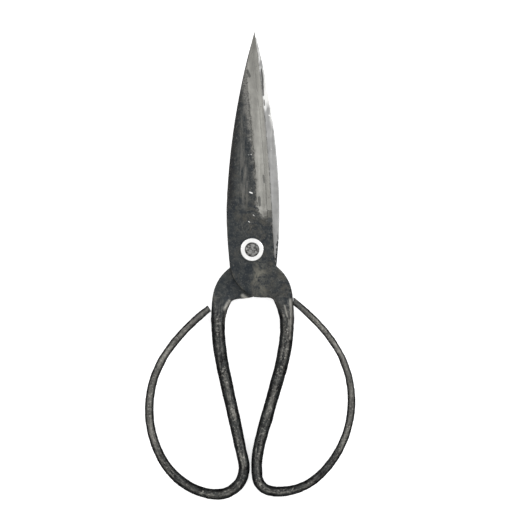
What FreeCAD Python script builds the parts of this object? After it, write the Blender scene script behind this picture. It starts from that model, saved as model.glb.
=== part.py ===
import FreeCAD, Part
import Sketcher
import math
import os

# Hand-forged fabric shears: two riveted limbs, each a blade, a pivot plate and a wide round bow.
# The part's frame has its origin on the pivot axis, at the flat underside of the rivet. +Y runs to the
# tips, +X to the front limb's bow and +Z up through the rivet to its front head. Closed pose, in mm.

closeEnough = 0.000001  # lengths this close count as equal, in mm

os.makedirs("parts", exist_ok=True)
doc = FreeCAD.newDocument("fabric_shears")

# Sizes that both limbs share.
shared = {
    "plate_thick": 3.0,
    "limb_gap": 0.1,
    "washer_thick": 0.9,
    "washer_radius": 4.7,
    "washer_round": 0.35,
    "head_radius": 2.95,
    "head_height": 0.9,
    "head_flat": 2.1,
    "rivet_radius": 2.0,
    "pivot_play": 0.05,
    "taper_start": 14.0,
    "taper_end": 90.0,
    "tip_thick": 1.3,
    "edge_thick": 0.25,
    "bevel_width": 5.8,
    "bevel_start": 16.0,
    "bevel_runout": 9.0,
    "forge_step": 0.1,
    "weld_depth": 1.7,
    "cut_reach": 50.0,
}

# Corners of each limb's flat outline, in the limb's own frame: the spine is on the -X side and the
# cutting edge on the +X side. The two limbs were forged by hand and differ a little.
corners = {
    "front": {
        "tip": (1.0, 88.6), "weldtop": (-0.3, 83.6), "belly": (-10.4, 16.0), "neck": (-9.0, -7.0),
        "fork": (0.7, -19.4), "crotch": (7.2, -19.5), "inside": (8.7, -20.3), "outside": (16.3, -17.6),
        "shoulder": (9.7, -6.6), "ledge": (9.3, -5.4), "heel": (8.1, 11.0), "weldheel": (6.4, 11.0),
    },
    "back": {
        "tip": (-1.6, 86.8), "weldtop": (-2.6, 82.2), "belly": (-11.1, 15.0), "neck": (-9.8, -7.0),
        "fork": (0.8, -19.7), "crotch": (6.6, -20.2), "inside": (8.4, -21.2), "outside": (15.9, -18.2),
        "shoulder": (9.0, -7.3), "ledge": (8.7, -6.0), "heel": (7.8, 11.0), "weldheel": (6.1, 11.0),
    },
}

# Radii of the outline's round stretches.
radii = {
    "front": {"spine": 290.0, "back": 200.0, "plate": 15.7, "corner": 3.6, "haunch": 16.4, "edge": 890.0},
    "back": {"spine": 300.0, "back": 190.0, "plate": 16.3, "corner": 3.4, "haunch": 16.6, "edge": 850.0},
}

# The shank's cross-sections from plate to rod: centre, direction in degrees, width and thickness.
# Each one is flat-sided with round edges.
shankSections = {
    "front": [(9.6, -15.7, -54, 11.4, 2.8), (12.5, -18.9, -71, 8.1, 3.9), (13.6, -24.0, -85, 6.9, 5.5)],
    "back": [(9.2, -16.2, -54, 11.4, 2.8), (12.2, -19.6, -70, 8.1, 3.9), (13.3, -24.4, -85, 6.7, 5.5)],
}

# The bow's centreline: a start point and direction, then runs. Each run is a tangent arc, as its radius
# and turn in degrees, or straight, as its length and no turn, and then the rod's diameter at its end.
bows = {
    "front": {
        "start": (14.12, -28.0), "heading": -89.5, "root": 5.95,
        "runs": [
            (75.0, -16.2, 5.4), (29.3, 0.0, 5.0), (40.7, 20.8, 4.6), (6.7, 77.9, 4.4),
            (23.9, 50.2, 3.6), (41.5, 82.1, 2.95), (74.3, 16.3, 2.8),
        ],
    },
    "back": {
        "start": (13.77, -28.0), "heading": -89.5, "root": 5.9,
        "runs": [
            (92.2, -12.8, 5.3), (38.6, 0.0, 4.8), (10.7, 103.2, 4.6), (22.4, 20.8, 4.3),
            (28.7, 38.8, 3.9), (41.1, 65.6, 3.4), (81.1, 16.0, 3.0),
        ],
    },
}


def fillSheet():
    """Put every driving dimension in one spreadsheet with an alias."""
    values = dict(shared)
    for limb in corners:
        for name, (x, y) in corners[limb].items():
            values[f"{limb}_{name}_x"] = x
            values[f"{limb}_{name}_y"] = y
        for name, radius in radii[limb].items():
            values[f"{limb}_{name}_radius"] = radius
        for place, section in enumerate(shankSections[limb], start=1):
            for name, value in zip(("x", "y", "heading", "width", "thick"), section):
                values[f"{limb}_shank{place}_{name}"] = value
        bow = bows[limb]
        values[f"{limb}_rod_x"], values[f"{limb}_rod_y"] = bow["start"]
        values[f"{limb}_rod_heading"] = bow["heading"]
        values[f"{limb}_run0_diameter"] = bow["root"]
        for place, run in enumerate(bow["runs"], start=1):
            for name, value in zip(("size", "turn", "diameter"), run):
                values[f"{limb}_run{place}_{name}"] = value
    sheet = doc.addObject("Spreadsheet::Sheet", "sizes")
    for row, (alias, value) in enumerate(values.items(), start=1):
        sheet.set(f"A{row}", alias)
        sheet.set(f"B{row}", str(value))
        sheet.setAlias(f"B{row}", alias)
    doc.recompute()
    return sheet


sheet = fillSheet()


def size(alias):
    return float(sheet.get(alias))


def newBody(label):
    body = doc.addObject("PartDesign::Body", label)
    body.Label = label
    return body


def newSketch(body, name, role):
    """A sketch on one of the body's own origin planes."""
    sketch = body.newObject("Sketcher::SketchObject", name)
    plane = [feature for feature in body.Origin.OriginFeatures if feature.Role == role][0]
    sketch.AttachmentSupport = [(plane, "")]
    sketch.MapMode = "FlatFace"
    return sketch


def bind(sketch, constraint, expression):
    """Add a constraint and tie its value to the sheet."""
    index = sketch.addConstraint(constraint)
    sketch.setExpression(f"Constraints[{index}]", expression)


def pinCorner(sketch, edge, end, point, across, along):
    """Tie one end of an edge to its place, given as two expressions."""
    bind(sketch, Sketcher.Constraint("DistanceX", -1, 1, edge, end, point.x), across)
    bind(sketch, Sketcher.Constraint("DistanceY", -1, 1, edge, end, point.y), along)


def endNear(sketch, edge, point):
    """Which end of an edge, 1 or 2, lies at a point."""
    return min((1, 2), key=lambda end: sketch.getPoint(edge, end).distanceToPoint(point))


def closeAndPin(sketch, points, expressions):
    """Join a closed chain of edges at its corners and tie each corner to the sheet."""
    for edge, (point, (across, along)) in enumerate(zip(points, expressions)):
        previous = (edge - 1) % len(points)
        start, finish = endNear(sketch, edge, point), endNear(sketch, previous, point)
        sketch.addConstraint(Sketcher.Constraint("Coincident", previous, finish, edge, start))
        pinCorner(sketch, edge, start, point, across, along)


def drawPolygon(sketch, expressions):
    """A closed polygon whose corners are pairs of expressions."""
    points = [
        FreeCAD.Vector(float(sketch.evalExpression(across)), float(sketch.evalExpression(along)), 0)
        for across, along in expressions
    ]
    for edge, point in enumerate(points):
        sketch.addGeometry(Part.LineSegment(point, points[(edge + 1) % len(points)]))
    closeAndPin(sketch, points, expressions)


def bulgedArc(start, end, radius, bulge):
    """The minor arc between two points; bulge 1 is on the right of the way from start to end, -1 the left."""
    chord = end - start
    right = FreeCAD.Vector(chord.y, -chord.x, 0).normalize()
    sagitta = radius - math.sqrt(radius ** 2 - (chord.Length / 2) ** 2)
    return Part.Arc(start, start + chord / 2 + right * sagitta * bulge, end)


def drawOutline(sketch, limb, edges):
    """A closed outline from (corner, radius name or None, bulge) entries in order."""
    points = [FreeCAD.Vector(*corners[limb][corner], 0) for corner, radius, bulge in edges]
    for edge, (corner, radius, bulge) in enumerate(edges):
        start, end = points[edge], points[(edge + 1) % len(points)]
        if radius:
            sketch.addGeometry(bulgedArc(start, end, size(f"{limb}_{radius}_radius"), bulge))
        else:
            sketch.addGeometry(Part.LineSegment(start, end))
    closeAndPin(sketch, points, [(f"sizes.{limb}_{corner}_x", f"sizes.{limb}_{corner}_y") for corner, _, _ in edges])
    for edge, (corner, radius, bulge) in enumerate(edges):
        if radius:
            alias = f"{limb}_{radius}_radius"
            bind(sketch, Sketcher.Constraint("Radius", edge, size(alias)), f"sizes.{alias}")


def padOutline(body, limb, edges):
    """The flat blank, from the limb's inner face outwards."""
    sketch = newSketch(body, f"{body.Name}_outline", "XY_Plane")
    sketch.setExpression("AttachmentOffset.Base.z", "sizes.limb_gap / 2")
    drawOutline(sketch, limb, edges)
    pad = body.newObject("PartDesign::Pad", f"{body.Name}_blank")
    pad.Profile = sketch
    pad.setExpression("Length", "sizes.plate_thick")
    doc.recompute()


def edgeAcross(limb, along):
    """Where the cutting edge is across the blade, at a place along it, as an expression."""
    tip, heel = (f"sizes.{limb}_{corner}" for corner in ("tip", "heel"))
    part = f"(({tip}_y - ({along})) / ({tip}_y - {heel}_y))"
    length = f"({tip}_y - {heel}_y)"
    swell = f"{length} * {length} / (2 * sizes.{limb}_edge_radius) * {part} * (1 - {part})"
    return f"{tip}_x + ({heel}_x - {tip}_x) * {part} + {swell}"


innerFace = "sizes.limb_gap / 2"
outerFace = "(sizes.limb_gap / 2 + sizes.plate_thick)"


def faceAlong(along):
    """The outer face's height at a place along the blade, thinning towards the tip."""
    fall = "(sizes.plate_thick - sizes.tip_thick) / (sizes.taper_end - sizes.taper_start)"
    return f"({outerFace} - {fall} * max(0; ({along}) - sizes.taper_start))"


def checkRemoved(body, before, feature):
    """A cut that points away from the solid removes nothing and shows no error."""
    doc.recompute()
    removed = before - body.Shape.Volume
    if removed <= 0:
        raise RuntimeError(f"{feature.Name} cut nothing")
    print(f"{feature.Name} removed {removed:.1f} cubic mm")


def thinBlade(body):
    """Forge the blade thinner towards its tip."""
    before = body.Shape.Volume
    sketch = newSketch(body, f"{body.Name}_side", "YZ_Plane")
    drawPolygon(sketch, [
        ("sizes.taper_start", outerFace),
        ("sizes.taper_end", faceAlong("sizes.taper_end")),
        ("sizes.taper_end", f"{outerFace} + sizes.plate_thick"),
        ("sizes.taper_start", f"{outerFace} + sizes.plate_thick"),
    ])
    pocket = body.newObject("PartDesign::Pocket", f"{body.Name}_taper")
    pocket.Profile = sketch
    pocket.SideType = "Symmetric"
    pocket.setExpression("Length", "sizes.cut_reach")
    checkRemoved(body, before, pocket)


def grindBevel(body, limb):
    """Grind the wide bevel down to the cutting edge, running out above the pivot."""
    before = body.Shape.Volume
    stations = {
        "runout": ("sizes.bevel_runout", "sizes.bevel_width"),
        "heel": ("sizes.bevel_start", "0"),
        "middle": ("(sizes.bevel_start + sizes.taper_end) / 2", "0"),
        "tip": ("sizes.taper_end", "0"),
    }
    sections = []
    for name, (along, aside) in stations.items():
        sketch = newSketch(body, f"{body.Name}_bevel_{name}", "XZ_Plane")
        sketch.setExpression("AttachmentOffset.Base.z", f"-({along})")
        edge = f"({edgeAcross(limb, along)} + {aside})"
        rise = f"({faceAlong(along)} - {innerFace} - sizes.edge_thick)"
        drawPolygon(sketch, [
            (f"{edge} - sizes.bevel_width", faceAlong(along)),
            (f"{edge} + sizes.bevel_width", f"{innerFace} + sizes.edge_thick - {rise}"),
            (f"{edge} + sizes.bevel_width", f"{outerFace} + sizes.edge_thick"),
            (f"{edge} - sizes.bevel_width", f"{outerFace} + sizes.edge_thick"),
        ])
        sections.append(sketch)
    loft = body.newObject("PartDesign::SubtractiveLoft", f"{body.Name}_bevel")
    loft.Profile = sections[0]
    loft.Sections = sections[1:]
    loft.Ruled = True
    checkRemoved(body, before, loft)


def forgeShank(body, limb):
    """The shank turns from the flat plate into a round rod, and moves in to the middle plane."""
    sections = []
    for place in range(1, len(shankSections[limb]) + 1):
        name = f"{limb}_shank{place}"
        sections.append(ovalSection(body, name, f"sizes.{name}_x", f"sizes.{name}_y",
                                    f"sizes.{name}_heading", f"sizes.{name}_width", f"sizes.{name}_thick"))
    rod = f"sizes.{limb}_rod"
    # It ends a little larger than the rod, so that the rod starts well inside its end face.
    root = f"sizes.{limb}_run0_diameter + sizes.forge_step"
    sections.append(ovalSection(body, f"{limb}_root", f"{rod}_x", f"{rod}_y", f"{rod}_heading",
                                f"({root} + sizes.forge_step * 2)", f"({root})"))
    loft = body.newObject("PartDesign::AdditiveLoft", f"{body.Name}_shank")
    loft.Profile = sections[0]
    loft.Sections = sections[1:]
    doc.recompute()


def ovalSection(body, name, across, along, heading, width, thick):
    """A flat-sided section with round edges, standing square to the shank's direction."""
    sketch = newSketch(body, f"{name}_section", "XY_Plane")
    yaw = float(sketch.evalExpression(heading)) + 90
    sketch.AttachmentOffset = FreeCAD.Placement(FreeCAD.Vector(), FreeCAD.Rotation(yaw, 0, 90))
    sketch.setExpression("AttachmentOffset.Base.x", across)
    sketch.setExpression("AttachmentOffset.Base.y", along)
    # The outer face stays a small step below the plate's until the section is as thick as the rod.
    level = f"max(0; {outerFace} - sizes.forge_step - {thick} / 2)"
    middle = float(sketch.evalExpression(level))
    radius = float(sketch.evalExpression(thick)) / 2
    reach = float(sketch.evalExpression(width)) / 2 - radius
    rightEnd = FreeCAD.Vector(reach, middle, 0)
    leftEnd = FreeCAD.Vector(-reach, middle, 0)
    up = FreeCAD.Vector(0, radius, 0)
    right = FreeCAD.Vector(radius, 0, 0)
    sketch.addGeometry(Part.LineSegment(leftEnd - up, rightEnd - up))
    sketch.addGeometry(Part.Arc(rightEnd - up, rightEnd + right, rightEnd + up))
    sketch.addGeometry(Part.LineSegment(rightEnd + up, leftEnd + up))
    sketch.addGeometry(Part.Arc(leftEnd + up, leftEnd - right, leftEnd - up))
    for edge in range(4):
        following = (edge + 1) % 4
        joint = sketch.getPoint(following, 1)
        sketch.addConstraint(Sketcher.Constraint("Tangent", edge, endNear(sketch, edge, joint), following, 1))
    bind(sketch, Sketcher.Constraint("Radius", 1, radius), f"{thick} / 2")
    bind(sketch, Sketcher.Constraint("DistanceX", -1, 1, 1, 3, reach), f"({width} - {thick}) / 2")
    bind(sketch, Sketcher.Constraint("DistanceX", 3, 3, -1, 1, reach), f"({width} - {thick}) / 2")
    bind(sketch, Sketcher.Constraint("DistanceY", -1, 1, 1, 3, middle), level)
    return sketch


def walkBow(limb):
    """Follow the bow's centreline; gives its curves, and the place and direction where each one starts."""
    rod = f"{limb}_rod"
    place = FreeCAD.Vector(size(f"{rod}_x"), size(f"{rod}_y"), 0)
    heading = size(f"{rod}_heading")
    curves, stops = [], [(place, heading)]
    for run in range(1, len(bows[limb]["runs"]) + 1):
        amount, turn = size(f"{limb}_run{run}_size"), size(f"{limb}_run{run}_turn")
        ahead = FreeCAD.Rotation(heading, 0, 0).multVec(FreeCAD.Vector(1, 0, 0))
        if turn == 0:
            following = place + ahead * amount
            curves.append(Part.LineSegment(place, following))
        else:
            side = FreeCAD.Vector(-ahead.y, ahead.x, 0) * math.copysign(amount, turn)
            halfway = place + side - FreeCAD.Rotation(turn / 2, 0, 0).multVec(side)
            following = place + side - FreeCAD.Rotation(turn, 0, 0).multVec(side)
            curves.append(Part.Arc(place, halfway, following))
        place, heading = following, heading + turn
        stops.append((place, heading))
    return curves, stops


def rodSection(body, name, place, heading, diameter):
    """A round section standing square to the rod."""
    sketch = newSketch(body, name, "XY_Plane")
    sketch.AttachmentOffset = FreeCAD.Placement(place, FreeCAD.Rotation(heading + 90, 0, 90))
    sketch.addGeometry(Part.Circle(FreeCAD.Vector(), FreeCAD.Vector(0, 0, 1), size(diameter) / 2))
    sketch.addConstraint(Sketcher.Constraint("Coincident", 0, 3, -1, 1))
    bind(sketch, Sketcher.Constraint("Diameter", 0, size(diameter)), f"sizes.{diameter}")
    return sketch


def drawBow(body, limb):
    """The rod drawn out thinner all the way round the bow."""
    before = body.Shape.Volume
    curves, stops = walkBow(limb)
    path = newSketch(body, f"{limb}_bow_path", "XY_Plane")
    for curve in curves:
        path.addGeometry(curve)
    for edge in range(1, len(curves)):
        ends = [endNear(path, beside, stops[edge][0]) for beside in (edge - 1, edge)]
        path.addConstraint(Sketcher.Constraint("Tangent", edge - 1, ends[0], edge, ends[1]))
    start = stops[0][0]
    pinCorner(path, 0, endNear(path, 0, start), start, f"sizes.{limb}_rod_x", f"sizes.{limb}_rod_y")
    for edge in range(len(curves)):
        run = f"{limb}_run{edge + 1}"
        amount, turn = size(f"{run}_size"), size(f"{run}_turn")
        if turn == 0:
            bind(path, Sketcher.Constraint("Distance", edge, amount), f"sizes.{run}_size")
        else:
            bind(path, Sketcher.Constraint("Radius", edge, amount), f"sizes.{run}_size")
            bind(path, Sketcher.Constraint("Angle", edge, abs(math.radians(turn))), f"abs(sizes.{run}_turn) * 1 deg")
    rounds = [
        rodSection(body, f"{limb}_bow_round{run}", place, heading, f"{limb}_run{run}_diameter")
        for run, (place, heading) in enumerate(stops)
    ]
    for run in range(len(curves)):
        pipe = body.newObject("PartDesign::AdditivePipe", f"{body.Name}_bow_run{run + 1}")
        pipe.Profile = rounds[run]
        pipe.Spine = (path, [f"Edge{run + 1}"])
        pipe.Transformation = "Multisection"
        pipe.Sections = [rounds[run + 1]]
        doc.recompute()
    expected = 0
    for run, curve in enumerate(curves):
        first, last = size(f"{limb}_run{run}_diameter"), size(f"{limb}_run{run + 1}_diameter")
        expected += math.pi / 12 * curve.length() * (first ** 2 + first * last + last ** 2)
    end, heading = stops[-1]
    print(f"{limb} bow: {sum(curve.length() for curve in curves):.1f} mm long,",
          f"{body.Shape.Volume - before:.0f} of {expected:.0f} cubic mm,",
          f"ends at {end.x:.2f}, {end.y:.2f} heading {heading:.1f}")


def boreHole(body, radius):
    """A round hole on the pivot axis, right through the body."""
    before = body.Shape.Volume
    sketch = newSketch(body, f"{body.Name}_bore_circle", "XY_Plane")
    sketch.addGeometry(Part.Circle(FreeCAD.Vector(), FreeCAD.Vector(0, 0, 1), size("rivet_radius")))
    sketch.addConstraint(Sketcher.Constraint("Coincident", 0, 3, -1, 1))
    bind(sketch, Sketcher.Constraint("Radius", 0, size("rivet_radius")), radius)
    pocket = body.newObject("PartDesign::Pocket", f"{body.Name}_bore")
    pocket.Profile = sketch
    pocket.SideType = "Symmetric"
    pocket.setExpression("Length", "sizes.cut_reach")
    checkRemoved(body, before, pocket)


def buildLimb(limb, bore):
    body = newBody(f"{limb}_limb")
    padOutline(body, limb, [
        ("weldtop", "spine", 1), ("belly", "back", 1), ("neck", "plate", 1), ("fork", None, 0),
        ("crotch", "corner", -1), ("inside", None, 0), ("outside", "haunch", 1), ("shoulder", None, 0),
        ("ledge", None, 0), ("heel", None, 0), ("weldheel", "edge", 1),
    ])
    thinBlade(body)
    grindBevel(body, limb)
    forgeShank(body, limb)
    drawBow(body, limb)
    boreHole(body, bore)
    return body


def buildEdgeSteel(limb):
    """The strip of hard steel forge-welded along the cutting edge; it alone forms the point."""
    body = newBody(f"{limb}_edge_steel")
    padOutline(body, limb, [
        ("tip", "spine", 1), ("weldtop", "edge", -1), ("weldheel", None, 0), ("heel", "edge", 1),
    ])
    thinBlade(body)
    grindBevel(body, limb)
    return body


def buildWasher(label):
    body = newBody(label)
    sketch = newSketch(body, f"{label}_profile", "XZ_Plane")
    drawPolygon(sketch, [
        ("sizes.rivet_radius", "0"), ("sizes.washer_radius", "0"),
        ("sizes.washer_radius", "sizes.washer_thick"), ("sizes.rivet_radius", "sizes.washer_thick"),
    ])
    turned = body.newObject("PartDesign::Revolution", f"{label}_ring")
    turned.Profile = sketch
    turned.ReferenceAxis = (sketch, ["V_Axis"])
    doc.recompute()
    topEdges = [
        f"Edge{index}" for index, edge in enumerate(turned.Shape.Edges, start=1)
        if edge.Closed and abs(edge.BoundBox.ZMin - size("washer_thick")) < closeEnough
    ]
    rounded = body.newObject("PartDesign::Fillet", f"{label}_rounding")
    rounded.Base = (turned, topEdges)
    rounded.setExpression("Radius", "sizes.washer_round")
    doc.recompute()
    return body


def buildRivet():
    """One pin with a peened head at each end, standing on its flat back head."""
    body = newBody("pivot_rivet")
    sketch = newSketch(body, "rivet_profile", "XZ_Plane")
    grip = "(sizes.head_height + sizes.washer_thick * 2 + sizes.plate_thick * 2 + sizes.limb_gap)"
    drawPolygon(sketch, [
        ("0", "0"),
        ("sizes.head_flat", "0"),
        ("sizes.head_radius", "sizes.head_height / 2"),
        ("sizes.head_radius", "sizes.head_height"),
        ("sizes.rivet_radius", "sizes.head_height"),
        ("sizes.rivet_radius", grip),
        ("sizes.head_radius", grip),
        ("sizes.head_radius", f"{grip} + sizes.head_height / 2"),
        ("sizes.head_flat", f"{grip} + sizes.head_height"),
        ("0", f"{grip} + sizes.head_height"),
    ])
    turned = body.newObject("PartDesign::Revolution", "rivet_turned")
    turned.Profile = sketch
    turned.ReferenceAxis = (sketch, ["V_Axis"])
    doc.recompute()
    return body


# The back limb is a front limb turned over: its outer face looks down.
middlePlane = size("head_height") + size("washer_thick") + size("plate_thick") + size("limb_gap") / 2
facingUp = FreeCAD.Placement(FreeCAD.Vector(0, 0, middlePlane), FreeCAD.Rotation())
facingDown = FreeCAD.Placement(FreeCAD.Vector(0, 0, middlePlane), FreeCAD.Rotation(FreeCAD.Vector(0, 1, 0), 180))
plateTop = size("limb_gap") / 2 + size("plate_thick")

bores = {"front": "sizes.rivet_radius + sizes.pivot_play", "back": "sizes.rivet_radius"}
subParts = []
for limb, facing in (("front", facingUp), ("back", facingDown)):
    onPlate = FreeCAD.Placement(FreeCAD.Vector(0, 0, plateTop), FreeCAD.Rotation())
    for body, place in (
        (buildLimb(limb, bores[limb]), facing),
        (buildEdgeSteel(limb), facing),
        (buildWasher(f"{limb}_washer"), facing * onPlate),
    ):
        body.Placement = place
        subParts.append(body)
subParts.append(buildRivet())
doc.recompute()

for item in doc.Objects:
    if {"Invalid", "Error"} & set(item.State):
        raise RuntimeError(f"{item.Label} failed: {item.State}")
for body in subParts:
    if body.Shape.isNull() or not body.Shape.isValid() or len(body.Shape.Solids) != 1:
        raise RuntimeError(f"{body.Label} isn't one valid solid")
for body in subParts:
    body.Shape.exportStep(f"parts/{body.Label}.step")
    box = body.Shape.BoundBox
    print(f"{body.Label}: {body.Shape.Volume:.0f} cubic mm,",
          f"x {box.XMin:.1f} to {box.XMax:.1f}, y {box.YMin:.1f} to {box.YMax:.1f}, z {box.ZMin:.2f} to {box.ZMax:.2f}")
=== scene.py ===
import bmesh
import bpy
import math
import random

from mathutils import Matrix, Vector


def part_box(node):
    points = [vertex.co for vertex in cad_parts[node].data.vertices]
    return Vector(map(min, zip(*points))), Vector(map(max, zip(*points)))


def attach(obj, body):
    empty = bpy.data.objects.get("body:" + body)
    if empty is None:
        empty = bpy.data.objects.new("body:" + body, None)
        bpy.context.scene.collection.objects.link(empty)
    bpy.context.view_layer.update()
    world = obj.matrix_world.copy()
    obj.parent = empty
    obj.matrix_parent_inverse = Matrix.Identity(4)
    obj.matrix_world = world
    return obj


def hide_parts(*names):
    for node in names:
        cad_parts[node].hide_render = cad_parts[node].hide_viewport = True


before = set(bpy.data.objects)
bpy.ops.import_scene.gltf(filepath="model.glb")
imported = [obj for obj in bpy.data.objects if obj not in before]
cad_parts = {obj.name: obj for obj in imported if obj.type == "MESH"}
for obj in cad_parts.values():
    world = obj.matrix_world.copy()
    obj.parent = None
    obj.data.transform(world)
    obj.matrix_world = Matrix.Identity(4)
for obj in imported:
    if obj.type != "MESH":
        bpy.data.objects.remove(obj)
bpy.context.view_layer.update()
print("frame loaded:", ", ".join(sorted(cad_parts)))

mm = 0.001
middle = sum(corner.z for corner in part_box("pivot_rivet")) / 2     # height of the plane where the limbs meet
random.seed(7)


def deselectAll():
    if bpy.context.object and bpy.context.object.mode != "OBJECT":
        bpy.ops.object.mode_set(mode="OBJECT")
    bpy.ops.object.select_all(action="DESELECT")


def pickUp(piece):
    deselectAll()
    piece.select_set(True)
    bpy.context.view_layer.objects.active = piece


def settle(piece):
    # the place goes into the mesh, as a CAD node's does
    pickUp(piece)
    bpy.ops.object.transform_apply(location=True, rotation=True, scale=True)


def applyAll(piece):
    pickUp(piece)
    for modifier in list(piece.modifiers):
        bpy.ops.object.modifier_apply(modifier=modifier.name)


def smooth(low, high, value):
    part = min(1.0, max(0.0, (value - low) / (high - low)))
    return part * part * (3 - 2 * part)


def blendPoint(start, end, part):
    return start + (end - start) * part


def ahead(degrees):
    return Vector((math.cos(math.radians(degrees)), math.sin(math.radians(degrees))))


def arcPoint(start, end, radius, part, side=1):
    # a place along the minor arc from start to end; side 1 bulges to the right of the way, -1 to the left
    start, end = Vector(start), Vector(end)
    chord = end - start
    right = Vector((chord.y, -chord.x)).normalized()
    depth = math.sqrt(radius ** 2 - (chord.length / 2) ** 2)
    centre = (start + end) / 2 - right * depth * side
    sweep = 2 * math.asin(chord.length / 2 / radius) * side
    return centre + Matrix.Rotation(sweep * part, 2) @ (start - centre)


# Sizes in mm, in each limb's own frame: spine on -X, cutting edge on +X, inner face just above z 0.
slab = {
    "inner": 0.05, "outer": 3.05, "taperStart": 14.0, "taperEnd": 90.0, "tipThick": 1.3,
    "edgeThick": 0.25, "bevelWidth": 5.8, "bevelStart": 16.0, "bevelRunout": 9.0,
    "softEdge": 0.42, "innerEdge": 0.1, "weldEdge": 0.03, "crotchLine": -19.0,
    "columns": 24, "acrossInner": 10,     # points round each section, and how many lie on its inner face
    "bladeSections": 32, "heelSections": 9,
}

# Strokes are (start x, start y, end x, end y, width). A shank's sections are (centre, direction in degrees,
# width, thickness). A run of the rod is (radius, turn in degrees, diameter at its end), or straight, with
# its length first and no turn.
frontLimb = {
    "name": "front_limb_forged", "node": "front_limb", "body": "front", "bore": 2.05, "turned": False,
    "cutReach": 1.8, "cutSlant": -0.74,
    "darkStrokes": [(-1.9, 72.4, -1.0, 70.0, 0.5), (4.6, 30.0, 4.9, 27.2, 0.35), (0.6, 35.0, 0.9, 33.4, 0.5),
                (2.9, 21.0, 3.1, 18.0, 0.5)],
    "nicks": [(-0.9, 23.2, -0.1, 22.8, 0.3), (-2.1, 21.6, -1.7, 21.9, 0.15), (0.5, 14.2, 0.6, 14.0, 0.25),
              (-1.7, 11.2, -0.9, 11.3, 0.2), (-0.4, 38.6, -0.3, 38.3, 0.2), (-0.7, 45.0, -0.6, 44.6, 0.15)],
    # the last strokes are painted highlights where the shank's facets catch the light
    "facetHighlightStrokes": [(15.6, -20.5, 16.0, -27.0, 0.55), (16.0, -27.0, 15.4, -36.0, 0.4),
             (13.2, -22.5, 14.2, -27.0, 0.2)],
    "tip": (1.0, 88.6), "weldTop": (-0.3, 83.6), "belly": (-10.4, 16.0), "neck": (-9.0, -7.0),
    "fork": (0.7, -19.4), "crotch": (7.2, -19.5), "inside": (8.7, -20.3), "outside": (16.3, -17.6),
    "shoulder": (9.7, -6.6), "ledge": (9.3, -5.4), "heel": (8.1, 11.0), "weldHeel": (6.4, 11.0),
    "spine": 290.0, "back": 200.0, "plate": 15.7, "corner": 3.6, "haunch": 16.4, "edge": 890.0,
    "shank": [((12.5, -18.9), -71.0, 8.1, 3.9), ((13.6, -24.0), -85.0, 6.9, 5.5)],
    "rodStart": (14.12, -28.0), "heading": -89.5, "root": 5.95,
    "runs": [(75.0, -16.2, 5.4), (29.3, 0.0, 5.0), (40.7, 20.8, 4.6), (6.7, 77.9, 4.4),
             (23.9, 50.2, 3.6), (41.5, 82.1, 2.95), (74.3, 16.3, 2.8)],
}
backLimb = {
    "name": "back_limb_forged", "node": "back_limb", "body": "back", "bore": 2.0, "turned": True,
    "cutReach": 1.0, "cutSlant": -0.12,
    # the back limb's dark strokes are painted shadow cast by the front blade's edge onto its inner face
    "darkStrokes": [(-3.75, 73.0, -4.25, 69.0, 0.3), (-4.25, 69.0, -4.5, 62.5, 0.34),
                (-4.9, 60.5, -5.0, 58.5, 0.2)],
    "nicks": [(-7.0, 60.0, -6.4, 60.9, 0.2), (-7.4, 54.0, -6.7, 54.6, 0.2), (-7.9, 40.5, -7.6, 41.0, 0.15)],
    # the last strokes are painted highlights where the shank's facets catch the light
    "facetHighlightStrokes": [(9.3, -21.0, 10.9, -24.0, 0.6), (10.7, -24.0, 11.2, -30.0, 0.3),
             (2.4, -19.7, 3.8, -18.6, 0.6)],
    "tip": (-1.6, 86.8), "weldTop": (-2.6, 82.2), "belly": (-11.1, 15.0), "neck": (-9.8, -7.0),
    "fork": (0.8, -19.7), "crotch": (6.6, -20.2), "inside": (8.4, -21.2), "outside": (15.9, -18.2),
    "shoulder": (9.0, -7.3), "ledge": (8.7, -6.0), "heel": (7.8, 11.0), "weldHeel": (6.1, 11.0),
    "spine": 300.0, "back": 190.0, "plate": 16.3, "corner": 3.4, "haunch": 16.6, "edge": 850.0,
    "shank": [((12.2, -19.6), -70.0, 8.1, 3.9), ((13.3, -24.4), -85.0, 6.7, 5.5)],
    "rodStart": (13.77, -28.0), "heading": -89.5, "root": 5.9,
    "runs": [(92.2, -12.8, 5.3), (38.6, 0.0, 4.8), (10.7, 103.2, 4.6), (22.4, 20.8, 4.3),
             (28.7, 38.8, 3.9), (41.1, 65.6, 3.4), (81.1, 16.0, 3.0)],
}


def edgeAcross(limb, along):
    # where the cutting edge is across the blade
    tip, heel = limb["tip"], limb["heel"]
    length = tip[1] - heel[1]
    part = (tip[1] - along) / length
    return tip[0] + (heel[0] - tip[0]) * part + length ** 2 / (2 * limb["edge"]) * part * (1 - part)


def faceHeight(along):
    fall = (slab["outer"] - slab["inner"] - slab["tipThick"]) / (slab["taperEnd"] - slab["taperStart"])
    return slab["outer"] - fall * max(0.0, along - slab["taperStart"])


def bevelShift(along):
    # the bevel slides off the edge where it runs out
    slide = max(0.0, slab["bevelStart"] - along) / (slab["bevelStart"] - slab["bevelRunout"])
    return slab["bevelWidth"] * slide


def bevelLine(limb, along):
    # where the grinding meets the forged skin, across the blade
    return edgeAcross(limb, along) + bevelShift(along) - slab["bevelWidth"]


def outerHeight(limb, across, along):
    face = faceHeight(along)
    if along < slab["bevelRunout"]:
        return face
    ground = slab["inner"] + slab["edgeThick"]
    depth = (edgeAcross(limb, along) + bevelShift(along) - across) / slab["bevelWidth"]
    return min(face, ground + (face - ground) * depth)


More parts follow.
